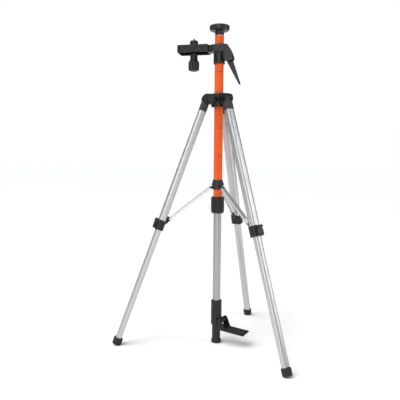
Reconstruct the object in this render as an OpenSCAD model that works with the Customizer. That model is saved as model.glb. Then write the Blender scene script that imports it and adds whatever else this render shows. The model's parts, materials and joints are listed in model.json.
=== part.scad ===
// Telescoping support pole held by a folding tripod, with a sliding bracket for a laser level.
// Millimetres. +Z runs up the pole and the origin is the middle of the pole's base on the floor.
// The legs stand at azimuths 60, 180 and 300 degrees.

/* [Pole] */
// Outside diameter of the upper tube
outer_tube_d = 32; // [31:0.5:33]
// Wall of the pole's tubes
pole_wall = 1.2; // [1:0.1:1.4]
// Radial gap between the two pole tubes
telescope_gap = 0.3; // [0.25:0.05:0.4]
// Height of the upper tube's bottom end
outer_tube_bottom = 500; // [490:5:510]
// Length of the upper tube
outer_tube_length = 628; // [600:2:640]
// Height of the lower tube's top end
inner_tube_top = 700; // [680:5:720]
// Diameter of the round cap on top
cap_d = 72; // [66:1:76]
// Diameter of the twist lock sleeve
twist_lock_d = 48.5; // [46:0.5:50]

/* [Foot] */
// Diameter of the sleeve that houses the foot spring
foot_sleeve_d = 40; // [38:0.5:42]
// Diameter of the sprung foot tube
plunger_d = 31; // [30:0.5:31]
// Diameter of the rubber base
base_d = 37.5; // [36:0.5:40]
// Azimuth of the pedal
pedal_azimuth = -32; // [-36:1:-28]
// Width of the pedal
pedal_width = 56; // [50:1:56]
// Distance from the pole's axis to the pedal's tip
pedal_reach = 121; // [110:1:122]

/* [Tripod] */
// Angle between a leg and the pole
leg_angle = 20; // [18:0.5:21]
// Distance from the pole's axis to a leg's hinge
hinge_r = 44; // [44:0.5:46]
// Height of a leg's hinge
hinge_z = 904; // [900:1:910]
// Distance along the leg from hinge to clamp top
clamp_top = 468; // [464:1:472]
// Upper leg tube size across the leg
upper_leg_w = 32.5; // [32:0.25:33]
// Upper leg tube size towards the pole
upper_leg_t = 27.5; // [27:0.25:28]
// Lower leg tube size across the leg
lower_leg_w = 27; // [26.5:0.25:27.25]
// Lower leg tube size towards the pole
lower_leg_t = 22.3; // [22:0.1:22.5]
// Wall of the leg tubes
leg_wall = 1.3; // [1.1:0.1:1.4]
// Height of the braces' hinges on the collar
collar_hinge_z = 584; // [582:1:586]
// Width of a brace
brace_w = 16; // [16:0.5:17]

/* [Bracket] */
// Azimuth of the bracket's arm
bracket_azimuth = 162; // [150:1:170]
// Distance from the pole's axis to the arm's end
bracket_reach = 150; // [146:1:156]
// Width of the bracket's platform
platform_w = 66; // [60:1:68]
// Distance from the pole's axis to the mounting screw
screw_r = 94; // [92:1:98]
// Height of the platform's top face
platform_top = 1096; // [1092:1:1098]
// Diameter of the mounting screw's knob
mount_knob_d = 40; // [36:1:42]

/* [Hidden] */
$fn = 64;
eps = 0.01;
slip = 0.4;          // radial gap of a part that slides or turns on another
pin_slip = 0.06;     // radial running gap of a hinge pin

outer_r = outer_tube_d / 2;
outer_bore_r = outer_r - pole_wall;
inner_r = outer_bore_r - telescope_gap;
inner_bore_r = inner_r - pole_wall;
outer_tube_top = outer_tube_bottom + outer_tube_length;
pole_bore_r = outer_r + slip;

insert_flange_h = 3;
insert_depth = 30;
cap_bottom = outer_tube_top + insert_flange_h + 0.5;
cap_height = 33.5;
cap_top = cap_bottom + cap_height;
cap_stud_r = 8;
cap_pad_h = 2.5;

collet_r = 18.5;
collet_bottom = outer_tube_bottom - 7;
collet_top = outer_tube_bottom + 45;
twist_bottom = outer_tube_bottom - 11;
twist_top = outer_tube_bottom + 50;
twist_r = twist_lock_d / 2;

foot_sleeve_r = foot_sleeve_d / 2;
foot_sleeve_bottom = 70;
foot_sleeve_top = 163;
partition_bottom = 106;
partition_top = 112;
plunger_r = plunger_d / 2;
plunger_bottom = 12;
plunger_floor = 32;
plunger_top = 80;
plunger_bore_r = 12.5;
base_r = base_d / 2;
spring_r = 10;
spring_wire_r = 0.9;
spring_turns = 9;

pedal_pin_x = 25;
pedal_pin_z = 90;
pedal_pin_r = 3;
pedal_root = 33;
pedal_root_z = 62;
pedal_tip_z = 54.5;
pedal_t = 5.5;
cheek_t = 4;
pedal_slope = atan((pedal_root_z - pedal_tip_z) / (pedal_reach - 2 - pedal_root));

leg_count = 3;
hub_bottom = 876;
hub_top = 923;
hub_r = 27;
arm_end_r = 18;
arm_w = 34;
tongue_r = 12.5;
tongue_w = 18;
hinge_pin_r = 3.5;
hub_screw_z = 901;
hub_screw_r = 4;
hub_knob_r = 13.5;
hub_knob_start = 40;
hub_knob_end = 58;
knob_azimuth = 232;

leg_corner_r = 9;
knuckle_length = 46;
spigot_end = 80;
upper_leg_end = clamp_top + 27;
clamp_height = 37;
clamp_bottom = clamp_top + clamp_height;
clamp_in = 15.5;
clamp_out = 17.5;
clamp_w = 44;
lever_pin_x = 20.5;
lever_pin_s = clamp_top + 5.5;
lever_pin_r = 2.2;
lower_leg_start = 405;
foot_r = 17;
foot_height = 28;
foot_edge_r = 6;
lower_leg_end = 945;
lug_s = 454;
lug_offset = 25.8;
lug_w = 10.4;
lug_r = 4.8;

collar_bottom = 577;
collar_top = 612;
collar_r = 20;
collar_hinge_r = 27;
brace_pin_r = 2;
brace_depth = 8;
brace_t = 1.6;
ear_free = 22;

// The brace runs from its collar hinge to the lug on the leg's clamp.
lug_r_world = hinge_r + lug_s * sin(leg_angle) - lug_offset * cos(leg_angle);
lug_z_world = hinge_z - lug_s * cos(leg_angle) - lug_offset * sin(leg_angle);
brace_dr = lug_r_world - collar_hinge_r;
brace_dz = collar_hinge_z - lug_z_world;
brace_length = sqrt(brace_dr * brace_dr + brace_dz * brace_dz);
brace_angle = atan(brace_dr / brace_dz);
// A leg's foot reaches the floor on the rounded inner edge of its flat sole.
foot_end = foot_edge_r + (hinge_z - foot_edge_r - (foot_r - foot_edge_r) * sin(leg_angle)) / cos(leg_angle);

platform_h = 26;
platform_bottom = platform_top - platform_h;
platform_start = 36;
platform_corner_r = 8;
platform_wall = 3;
platform_deck = 3.5;
neck_w = 30;
head_w = 48;
head_front = 25;
head_back = 30;
boss_r = 20.5;
boss_bottom = platform_top - 67;
liner_r = 18;
bracket_bore_r = liner_r + slip;
lever_x = -37;
lever_z = platform_top - 44;
lever_ear_r = 15;
lever_ear_t = 6.5;
lever_barrel_r = 12;
axle_r = 3;
stud_r = 3.175;
stud_shank_r = 3;
stud_top = platform_top + 28;
seat_r = 15;
seat_h = 20;
mount_knob_r = mount_knob_d / 2;

// ---- shared shapes ----

module tube(r_out, r_in, z0, z1) {
    difference() {
        translate([0, 0, z0])
            cylinder(h = z1 - z0, r = r_out);
        translate([0, 0, z0 - 1])
            cylinder(h = z1 - z0 + 2, r = r_in);
    }
}

module rounded_rectangle(size_x, size_y, r) {
    square([size_x - 2 * r, size_y], center = true);
    square([size_x, size_y - 2 * r], center = true);
    for (sx = [-1, 1], sy = [-1, 1])
        translate([sx * (size_x / 2 - r), sy * (size_y / 2 - r)])
            circle(r = r);
}

module rounded_bar(size_x, size_y, r, z0, z1) {
    translate([0, 0, z0])
        linear_extrude(z1 - z0)
            rounded_rectangle(size_x, size_y, r);
}

// A round bar along Y, from y0 to y1.
module cross_bar(r, y0, y1) {
    translate([0, y0, 0])
        rotate([-90, 0, 0])
            cylinder(h = y1 - y0, r = r);
}

// A plate standing in the XZ plane, from y0 to y1.
module side_plate(y0, y1) {
    translate([0, y1, 0])
        rotate([90, 0, 0])
            linear_extrude(y1 - y0)
                children();
}

module both_sides() {
    children();
    mirror([0, 1, 0])
        children();
}

function leg_azimuth(i) = 60 + 120 * (i - 1);

module at_each_leg() {
    for (i = [1:leg_count])
        rotate([0, 0, leg_azimuth(i)])
            children();
}

// Leg frame: hinge at the origin, the leg runs down -Z, +X faces away from the pole.
module leg_frame(i) {
    rotate([0, 0, leg_azimuth(i)])
        translate([hinge_r, 0, hinge_z])
            rotate([0, -leg_angle, 0])
                children();
}

// Brace frame: collar hinge at the origin, the brace runs down -Z.
module brace_frame(i) {
    rotate([0, 0, leg_azimuth(i)])
        translate([collar_hinge_r, 0, collar_hinge_z])
            rotate([0, -brace_angle, 0])
                children();
}

module pedal_frame() {
    rotate([0, 0, pedal_azimuth])
        children();
}

module bracket_frame() {
    rotate([0, 0, bracket_azimuth])
        children();
}

// Grip knob along +Z: a disc with round flutes cut in its rim.
module fluted_knob(r, h, flutes, flute_r) {
    difference() {
        rotate_extrude()
            polygon([[0, 0], [r - 3, 0], [r, 3], [r, h - 2], [r - 2, h], [0, h]]);
        for (k = [0:flutes - 1])
            rotate([0, 0, (k + 0.5) * 360 / flutes])
                translate([r + flute_r * 0.55, 0, -1])
                    cylinder(h = h + 2, r = flute_r);
    }
}

// ---- tripod hub ----

module hub_casting() {
    color([0.16, 0.16, 0.17])
        difference() {
            union() {
                translate([0, 0, hub_bottom])
                    cylinder(h = hub_top - hub_bottom, r = hub_r);
                at_each_leg() {
                    translate([0, -arm_w / 2, hinge_z - arm_end_r])
                        cube([hinge_r, arm_w, 2 * arm_end_r]);
                    translate([hinge_r, 0, hinge_z])
                        cross_bar(arm_end_r, -arm_w / 2, arm_w / 2);
                }
                rotate([0, 0, knob_azimuth])
                    translate([10, 0, hub_screw_z])
                        rotate([0, 90, 0])
                            cylinder(h = 27, r = 11);
            }
            translate([0, 0, hub_bottom - 1])
                cylinder(h = hub_top - hub_bottom + 2, r = pole_bore_r);
            at_each_leg()
                translate([hinge_r, 0, hinge_z]) {
                    cross_bar(tongue_r + 0.7, -tongue_w / 2 - 0.5, tongue_w / 2 + 0.5);
                    translate([-tongue_r - 0.7, -tongue_w / 2 - 0.5, -40])
                        cube([60, tongue_w + 1, 40]);
                    cross_bar(hinge_pin_r, -arm_w, arm_w);
                }
            rotate([0, 0, knob_azimuth])
                translate([5, 0, hub_screw_z])
                    rotate([0, 90, 0])
                        cylinder(h = 40, r = hub_screw_r + pin_slip);
        }
}

module hub_pivot_bolts() {
    color([0.1, 0.1, 0.11])
        at_each_leg()
            translate([hinge_r, 0, hinge_z]) {
                cross_bar(hinge_pin_r, -arm_w / 2 - 3, arm_w / 2 + 1);
                cross_bar(7.5, arm_w / 2, arm_w / 2 + 2.6);
                translate([0, -arm_w / 2 - 3.4, 0])
                    rotate([-90, 0, 0])
                        cylinder(h = 3.4, r = 6.2, $fn = 6);
            }
}

module hub_lock_knob() {
    color([0.14, 0.14, 0.15])
        rotate([0, 0, knob_azimuth])
            translate([hub_knob_start, 0, hub_screw_z])
                rotate([0, 90, 0])
                    difference() {
                        fluted_knob(hub_knob_r, hub_knob_end - hub_knob_start, 7, 3);
                        translate([0, 0, -1])
                            cylinder(h = 12, r = hub_screw_r);
                    }
}

module hub_lock_screw() {
    screw_start = outer_r + 0.5;
    color([0.1, 0.1, 0.11])
        rotate([0, 0, knob_azimuth])
            translate([screw_start, 0, hub_screw_z])
                rotate([0, 90, 0])
                    cylinder(h = hub_knob_start + 11 - screw_start, r = hub_screw_r);
}

// ---- spreader collar and braces ----

module spreader_collar() {
    color([0.14, 0.14, 0.15])
        difference() {
            union() {
                rotate_extrude()
                    polygon([
                        [0, collar_bottom], [collar_r - 1, collar_bottom], [collar_r, collar_bottom + 1],
                        [collar_r, collar_bottom + 13], [collar_r + 3, collar_bottom + 16],
                        [collar_r + 3, collar_bottom + 22], [collar_r - 0.5, collar_bottom + 24],
                        [collar_r - 0.5, collar_top - 1], [collar_r - 1.5, collar_top], [0, collar_top]
                    ]);
                at_each_leg() {
                    translate([10, -lug_w / 2, collar_hinge_z - lug_r])
                        cube([collar_hinge_r - 10, lug_w, 2 * lug_r]);
                    translate([collar_hinge_r, 0, collar_hinge_z])
                        cross_bar(lug_r, -lug_w / 2, lug_w / 2);
                }
            }
            translate([0, 0, collar_bottom - 1])
                cylinder(h = collar_top - collar_bottom + 2, r = pole_bore_r);
            at_each_leg()
                translate([collar_hinge_r, 0, collar_hinge_z])
                    cross_bar(brace_pin_r, -lug_w, lug_w);
        }
}

module collar_pins() {
    color([0.1, 0.1, 0.11])
        at_each_leg()
            translate([collar_hinge_r, 0, collar_hinge_z]) {
                cross_bar(brace_pin_r, -brace_w / 2 - 2, brace_w / 2 + 2);
                both_sides()
                    cross_bar(brace_pin_r + 1.6, brace_w / 2 + 0.5, brace_w / 2 + 2);
            }
}

// Pressed channel: a web on the upper side and two flanges that end in pierced ears.
module brace() {
    web_end = brace_length - ear_free;
    difference() {
        union() {
            both_sides() {
                translate([-brace_depth / 2, brace_w / 2 - brace_t, -brace_length])
                    cube([brace_depth, brace_t, brace_length]);
                cross_bar(brace_depth / 2, brace_w / 2 - brace_t, brace_w / 2);
                translate([0, 0, -brace_length])
                    cross_bar(brace_depth / 2, brace_w / 2 - brace_t, brace_w / 2);
            }
            translate([brace_depth / 2 - brace_t, -brace_w / 2, -web_end])
                cube([brace_t, brace_w, web_end - 8]);
        }
        cross_bar(brace_pin_r + pin_slip, -brace_w, brace_w);
        translate([0, 0, -brace_length])
            cross_bar(brace_pin_r, -brace_w, brace_w);
    }
}

module brace_rivets() {
    stub_start = lug_w / 2 + 0.5;
    translate([0, 0, -brace_length])
        both_sides() {
            cross_bar(brace_pin_r, stub_start, brace_w / 2 + 1);
            cross_bar(brace_pin_r + 1.6, brace_w / 2, brace_w / 2 + 1.6);
        }
}

module brace_1() color([0.8, 0.8, 0.81]) brace_frame(1) brace();
module brace_2() color([0.8, 0.8, 0.81]) brace_frame(2) brace();
module brace_3() color([0.8, 0.8, 0.81]) brace_frame(3) brace();
module brace_1_rivets() color([0.6, 0.61, 0.63]) brace_frame(1) brace_rivets();
module brace_2_rivets() color([0.6, 0.61, 0.63]) brace_frame(2) brace_rivets();
module brace_3_rivets() color([0.6, 0.61, 0.63]) brace_frame(3) brace_rivets();

// ---- legs, in the leg frame ----

module knuckle() {
    body_t = upper_leg_t + 1;
    body_w = upper_leg_w + 1;
    difference() {
        union() {
            difference() {
                rounded_bar(body_t, body_w, leg_corner_r, -knuckle_length, -6);
                cross_bar(arm_end_r + 0.6, -body_w, body_w);
                // clears the underside of the hub's arm when the leg folds in
                translate([-body_t, -body_w, -arm_end_r - 0.6])
                    cube([body_t, 2 * body_w, arm_end_r]);
            }
            cross_bar(tongue_r, -tongue_w / 2, tongue_w / 2);
            translate([-tongue_r + 2, -tongue_w / 2, -24])
                cube([2 * tongue_r - 4, tongue_w, 24]);
            rounded_bar(upper_leg_t - 2 * leg_wall, upper_leg_w - 2 * leg_wall,
                        leg_corner_r - leg_wall, -spigot_end, -knuckle_length + 1);
        }
        cross_bar(hinge_pin_r + pin_slip, -tongue_w, tongue_w);
    }
}

module leg_tube(size_t, size_w, s0, s1) {
    difference() {
        rounded_bar(size_t, size_w, leg_corner_r, -s1, -s0);
        rounded_bar(size_t - 2 * leg_wall, size_w - 2 * leg_wall, leg_corner_r - leg_wall, -s1 - 1, -s0 + 1);
    }
}

module leg_clamp() {
    clamp_t = clamp_in + clamp_out;
    difference() {
        union() {
            translate([(clamp_out - clamp_in) / 2, 0, 0])
                rounded_bar(clamp_t, clamp_w, 12, -clamp_bottom, -clamp_top);
            // horn that carries the brace
            side_plate(-lug_w / 2, lug_w / 2) {
                polygon([
                    [-upper_leg_t / 2 + 1, -lug_s + 6], [-lug_offset + 2, -lug_s + 4.4],
                    [-lug_offset - 4.4, -lug_s - 2], [-clamp_in - 3, -clamp_top - 10],
                    [-upper_leg_t / 2 + 1, -clamp_top - 14]
                ]);
                translate([-lug_offset, -lug_s])
                    circle(r = lug_r);
            }
            // ears that hold the lever's pin
            both_sides()
                side_plate(10, 14) {
                    translate([lever_pin_x, -lever_pin_s])
                        circle(r = 5.5);
                    translate([clamp_out - 5, -lever_pin_s - 5.5])
                        square([lever_pin_x - clamp_out + 5, 11]);
                }
        }
        rounded_bar(upper_leg_t, upper_leg_w, leg_corner_r, -upper_leg_end, -lug_s + 20);
        rounded_bar(lower_leg_t + 2 * slip, lower_leg_w + 2 * slip, leg_corner_r + slip,
                    -clamp_bottom - 1, -upper_leg_end + 1);
        translate([lever_pin_x, 0, -lever_pin_s])
            cross_bar(lever_pin_r, -clamp_w, clamp_w);
        // room for the lever's barrel
        translate([lever_pin_x, 0, -lever_pin_s])
            cross_bar(5.6, -9.9, 9.9);
    }
}

module lever_pin() {
    translate([lever_pin_x, 0, -lever_pin_s]) {
        cross_bar(lever_pin_r, -14.8, 14.8);
        both_sides()
            cross_bar(lever_pin_r + 1.2, 14, 15.2);
    }
}

module clamp_lever() {
    lever_length = clamp_bottom - lever_pin_s - 1;
    difference() {
        union() {
            cross_bar(5, -9.5, 9.5);
            side_plate(-9.5, 9.5)
                polygon([[-1, -4], [4.8, 0], [4.6, -14], [-1, -14]]);
            side_plate(-13, 13)
                polygon([
                    [-2.3, -8], [3.4, -8], [4.8, -14], [4.8, -24],
                    [3, -lever_length], [-0.5, -lever_length], [-2.3, -lever_length + 4]
                ]);
        }
        cross_bar(lever_pin_r + pin_slip, -20, 20);
    }
}

module leg_guide() {
    rounded_bar(upper_leg_t - 2 * leg_wall - 0.7, upper_leg_w - 2 * leg_wall - 0.7,
                leg_corner_r - leg_wall - 0.3, -lower_leg_start, -lower_leg_start + 6);
    rounded_bar(lower_leg_t - 2 * leg_wall, lower_leg_w - 2 * leg_wall,
                leg_corner_r - leg_wall, -lower_leg_start - 20, -lower_leg_start);
}

module leg_foot() {
    arc_steps = 8;
    difference() {
        translate([0, 0, -foot_end])
            rotate_extrude()
                polygon(concat(
                    [[0, foot_height], [0, 0]],
                    [for (k = [0:arc_steps])
                        let (a = 90 * k / arc_steps)
                        [foot_r - foot_edge_r + foot_edge_r * sin(a), foot_edge_r - foot_edge_r * cos(a)]],
                    [[foot_r - 0.6, foot_height - 1.5], [foot_r - 1.6, foot_height]]
                ));
        rounded_bar(lower_leg_t, lower_leg_w, leg_corner_r, -lower_leg_end, -lower_leg_start);
    }
}

module leg_1_knuckle() color([0.2, 0.2, 0.21]) leg_frame(1) knuckle();
module leg_2_knuckle() color([0.2, 0.2, 0.21]) leg_frame(2) knuckle();
module leg_3_knuckle() color([0.2, 0.2, 0.21]) leg_frame(3) knuckle();

module leg_upper_tube(i) {
    color([0.82, 0.82, 0.83])
        leg_frame(i)
            leg_tube(upper_leg_t, upper_leg_w, knuckle_length, upper_leg_end);
}
module leg_1_upper_tube() leg_upper_tube(1);
module leg_2_upper_tube() leg_upper_tube(2);
module leg_3_upper_tube() leg_upper_tube(3);

module leg_1_clamp() color([0.15, 0.15, 0.16]) leg_frame(1) leg_clamp();
module leg_2_clamp() color([0.15, 0.15, 0.16]) leg_frame(2) leg_clamp();
module leg_3_clamp() color([0.15, 0.15, 0.16]) leg_frame(3) leg_clamp();

module leg_1_lever_pin() color([0.1, 0.1, 0.11]) leg_frame(1) lever_pin();
module leg_2_lever_pin() color([0.1, 0.1, 0.11]) leg_frame(2) lever_pin();
module leg_3_lever_pin() color([0.1, 0.1, 0.11]) leg_frame(3) lever_pin();

module leg_lever(i) {
    color([0.12, 0.12, 0.13])
        leg_frame(i)
            translate([lever_pin_x, 0, -lever_pin_s])
                clamp_lever();
}
module leg_1_lever() leg_lever(1);
module leg_2_lever() leg_lever(2);
module leg_3_lever() leg_lever(3);

module leg_1_guide() color([0.25, 0.25, 0.26]) leg_frame(1) leg_guide();
module leg_2_guide() color([0.25, 0.25, 0.26]) leg_frame(2) leg_guide();
module leg_3_guide() color([0.25, 0.25, 0.26]) leg_frame(3) leg_guide();

module leg_lower_tube(i) {
    color([0.84, 0.84, 0.85])
        leg_frame(i)
            leg_tube(lower_leg_t, lower_leg_w, lower_leg_start, lower_leg_end);
}
module leg_1_lower_tube() leg_lower_tube(1);
module leg_2_lower_tube() leg_lower_tube(2);
module leg_3_lower_tube() leg_lower_tube(3);

module leg_1_foot() color([0.08, 0.08, 0.08]) leg_frame(1) leg_foot();
module leg_2_foot() color([0.08, 0.08, 0.08]) leg_frame(2) leg_foot();
module leg_3_foot() color([0.08, 0.08, 0.08]) leg_frame(3) leg_foot();

// ---- pole ----

module outer_tube() {
    color([0.95, 0.42, 0.17])
        tube(outer_r, outer_bore_r, outer_tube_bottom, outer_tube_top);
}

module top_insert() {
    color([0.85, 0.85, 0.86])
        difference() {
            union() {
                translate([0, 0, outer_tube_top - insert_depth])
                    cylinder(h = insert_depth, r = outer_bore_r);
                translate([0, 0, outer_tube_top])
                    cylinder(h = insert_flange_h, r = outer_r - 0.3);
            }
            translate([0, 0, outer_tube_top - insert_depth - 1])
                cylinder(h = insert_depth + insert_flange_h + 2, r = cap_stud_r + pin_slip);
        }
}

module lock_collet() {
    color([0.3, 0.3, 0.31])
        difference() {
            union() {
                tube(collet_r, outer_r, outer_tube_bottom, collet_top);
                tube(collet_r, inner_r + 0.35, collet_bottom, outer_tube_bottom);
            }
            for (k = [0:3])
                rotate([0, 0, 45 + 90 * k])
                    translate([inner_r - 2, -1, collet_bottom - 1])
                        cube([8, 2, 18]);
        }
}

module cap_body() {
    color([0.13, 0.13, 0.14])
        translate([0, 0, cap_bottom])
            rotate_extrude()
                polygon([
                    [cap_stud_r, 0], [outer_r + 0.3, 0], [outer_r + 0.3, 9], [outer_r + 1.5, 11.5],
                    [cap_d / 2 - 9, 13.5], [cap_d / 2 - 3, 15.5], [cap_d / 2, 19],
                    [cap_d / 2, cap_height - 4], [cap_d / 2 - 1.2, cap_height - 1.5],
                    [cap_d / 2 - 4, cap_height], [cap_d / 2 - 5, cap_height],
                    [cap_d / 2 - 5, cap_height - cap_pad_h], [0, cap_height - cap_pad_h],
                    [0, 18], [cap_stud_r, 18]
                ]);
}

module cap_stud() {
    color([0.65, 0.66, 0.68])
        translate([0, 0, outer_tube_top - insert_depth + 6])
            cylinder(h = cap_bottom + 18 - outer_tube_top + insert_depth - 6, r = cap_stud_r);
}

module cap_pad() {
    color([0.07, 0.07, 0.07])
        translate([0, 0, cap_top - cap_pad_h])
            cylinder(h = cap_pad_h, r = cap_d / 2 - 5);
}

module twist_lock_sleeve() {
    grooves = 16;
    color([0.12, 0.12, 0.13])
        difference() {
            rotate_extrude()
                polygon([
                    [inner_r + 0.5, twist_bottom], [twist_r - 4.5, twist_bottom],
                    [twist_r - 1.8, twist_bottom + 2], [twist_r - 0.8, twist_bottom + 6],
                    [twist_r, twist_top - 8], [twist_r, twist_top - 1.5], [twist_r - 1.5, twist_top],
                    [pole_bore_r, twist_top], [pole_bore_r, collet_top + 1.5],
                    [collet_r + slip, collet_top + 1.5], [collet_r + slip, collet_bottom - 0.6],
                    [inner_r + 0.5, collet_bottom - 0.6]
                ]);
            for (k = [0:grooves - 1])
                rotate([0, 0, k * 360 / grooves])
                    translate([twist_r + 0.9, 0, twist_bottom + 8])
                        cylinder(h = twist_top - twist_bottom - 17, r = 1.6, $fn = 24);
        }
}

module inner_tube() {
    color([0.78, 0.78, 0.79])
        tube(inner_r, inner_bore_r, partition_top, inner_tube_top);
}

module inner_tube_plug() {
    color([0.2, 0.2, 0.21]) {
        translate([0, 0, inner_tube_top])
            cylinder(h = 5, r = inner_r);
        translate([0, 0, inner_tube_top - 18])
            cylinder(h = 18, r = inner_bore_r);
    }
}

// ---- sprung foot and pedal ----

module foot_sleeve() {
    color([0.14, 0.14, 0.15])
        difference() {
            union() {
                rotate_extrude()
                    polygon([
                        [0, foot_sleeve_bottom], [foot_sleeve_r - 1, foot_sleeve_bottom],
                        [foot_sleeve_r, foot_sleeve_bottom + 1], [foot_sleeve_r, foot_sleeve_top - 2],
                        [foot_sleeve_r - 2, foot_sleeve_top], [0, foot_sleeve_top]
                    ]);
                pedal_frame() {
                    translate([10, -12, pedal_pin_z - 8])
                        cube([pedal_pin_x - 10, 24, 16]);
                    translate([pedal_pin_x, 0, pedal_pin_z])
                        cross_bar(8, -12, 12);
                }
            }
            translate([0, 0, partition_top])
                cylinder(h = foot_sleeve_top, r = inner_r);
            translate([0, 0, partition_bottom - 60])
                cylinder(h = 60, r = plunger_r + slip);
            translate([0, 0, partition_bottom - 1])
                cylinder(h = 10, r = 4);
            pedal_frame()
                translate([pedal_pin_x, 0, pedal_pin_z])
                    cross_bar(pedal_pin_r, -20, 20);
        }
}

module pedal_pin() {
    pin_half = pedal_width / 2 + 1.5;
    color([0.1, 0.1, 0.11])
        pedal_frame()
            translate([pedal_pin_x, 0, pedal_pin_z]) {
                cross_bar(pedal_pin_r, -pin_half, pin_half);
                both_sides()
                    cross_bar(pedal_pin_r + 2, pedal_width / 2 + 0.5, pin_half + 0.5);
            }
}

module plunger_tube() {
    color([0.15, 0.15, 0.16])
        difference() {
            translate([0, 0, plunger_bottom])
                cylinder(h = plunger_top - plunger_bottom, r = plunger_r);
            translate([0, 0, plunger_floor])
                cylinder(h = plunger_top, r = plunger_bore_r);
        }
}

module base_foot() {
    color([0.07, 0.07, 0.07])
        difference() {
            rotate_extrude()
                polygon([
                    [0, 0], [base_r - 4, 0], [base_r - 1.6, 1.4], [base_r - 0.3, 4], [base_r, 7],
                    [base_r - 0.3, 10], [base_r - 1.4, 13], [base_r - 2.4, 14.5], [0, 14.5]
                ]);
            translate([0, 0, plunger_bottom])
                cylinder(h = 10, r = plunger_r);
        }
}

// Compression spring swept along a helix, with closed flat ends.
module foot_spring() {
    sides = 6;
    per_turn = 20;
    steps = spring_turns * per_turn;
    z0 = plunger_floor + spring_wire_r + 0.1;
    z1 = partition_bottom - spring_wire_r - 0.1;
    function ring_point(k, j) =
        let (a = 360 * k / per_turn, b = 360 * j / sides, r = spring_r + spring_wire_r * cos(b))
        [r * cos(a), r * sin(a), z0 + (z1 - z0) * k / steps + spring_wire_r * sin(b)];
    points = [for (k = [0:steps], j = [0:sides - 1]) ring_point(k, j)];
    walls = [for (k = [0:steps - 1], j = [0:sides - 1])
        let (n = (j + 1) % sides)
        [k * sides + j, (k + 1) * sides + j, (k + 1) * sides + n, k * sides + n]];
    first_end = [for (j = [0:sides - 1]) j];
    last_end = [for (j = [sides - 1:-1:0]) steps * sides + j];
    color([0.7, 0.71, 0.73])
        polyhedron(points, concat(walls, [first_end, last_end]));
}

module foot_pedal() {
    half = pedal_width / 2;
    color([0.14, 0.14, 0.15])
        pedal_frame()
            difference() {
                union() {
                    both_sides()
                        side_plate(half - cheek_t, half) {
                            translate([pedal_pin_x, pedal_pin_z])
                                circle(r = 9);
                            polygon([
                                [18, pedal_pin_z - 33], [21, pedal_pin_z - 34], [48, pedal_pin_z - 32],
                                [pedal_pin_x + 8.6, pedal_pin_z + 3], [pedal_pin_x - 8.5, pedal_pin_z - 3]
                            ]);
                        }
                    side_plate(-half, half)
                        polygon([
                            [pedal_root, pedal_root_z - pedal_t], [pedal_root, pedal_root_z],
                            [pedal_reach - 2, pedal_tip_z], [pedal_reach, pedal_tip_z - 1.5],
                            [pedal_reach, pedal_tip_z - pedal_t + 1.5],
                            [pedal_reach - 3, pedal_tip_z - pedal_t]
                        ]);
                    // stop that bears on the sleeve when the pedal is down
                    side_plate(-10, 10)
                        polygon([
                            [foot_sleeve_r + 0.8, pedal_root_z + 10], [foot_sleeve_r + 0.8, pedal_root_z - pedal_t],
                            [pedal_root + 1, pedal_root_z - pedal_t], [pedal_root + 1, pedal_root_z],
                            [foot_sleeve_r + 4, pedal_root_z + 10]
                        ]);
                    // raised rim along the root
                    side_plate(-half, half)
                        polygon([
                            [pedal_root, pedal_root_z - 1], [pedal_root, pedal_root_z + 3],
                            [pedal_root + 3, pedal_root_z + 3], [pedal_root + 6, pedal_root_z - 1]
                        ]);
                }
                translate([pedal_pin_x, 0, pedal_pin_z])
                    cross_bar(pedal_pin_r + pin_slip, -40, 40);
            }
}

module pedal_tread() {
    ribs = 7;
    tread_start = 12;
    tread_end = pedal_reach - pedal_root - 6;
    pitch = (tread_end - tread_start - 6) / (ribs - 1);
    color([0.1, 0.1, 0.1])
        pedal_frame()
            translate([pedal_root, 0, pedal_root_z])
                rotate([0, pedal_slope, 0]) {
                    translate([tread_start, -pedal_width / 2 + 4, 0])
                        cube([tread_end - tread_start, pedal_width - 8, 1]);
                    for (k = [0:ribs - 1])
                        translate([tread_start + 1.5 + k * pitch, -pedal_width / 2 + 6, 0.5])
                            cube([3, pedal_width - 12, 1.7]);
                }
}

// ---- bracket ----

module bracket_liner() {
    color([0.3, 0.3, 0.31])
        bracket_frame()
            difference() {
                tube(liner_r, pole_bore_r, boss_bottom + 1, platform_top - 1);
                translate([10, -1.5, boss_bottom])
                    cube([12, 3, platform_top - boss_bottom]);
            }
}

// Side outline of the ears that carry the cam lever.
module ear_outline() {
    translate([lever_x, lever_z])
        circle(r = lever_ear_r);
    polygon([
        [-18, platform_top], [-31, platform_top], [-38, platform_top - 9], [-46, platform_top - 25],
        [lever_x - lever_ear_r, lever_z + 3], [lever_x, lever_z - 8], [-18, lever_z - 8]
    ]);
}

module platform_outline(inset, r) {
    length = bracket_reach - platform_start;
    translate([platform_start + length / 2, 0])
        rounded_rectangle(length - 2 * inset, platform_w - 2 * inset, r - inset);
}

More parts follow.
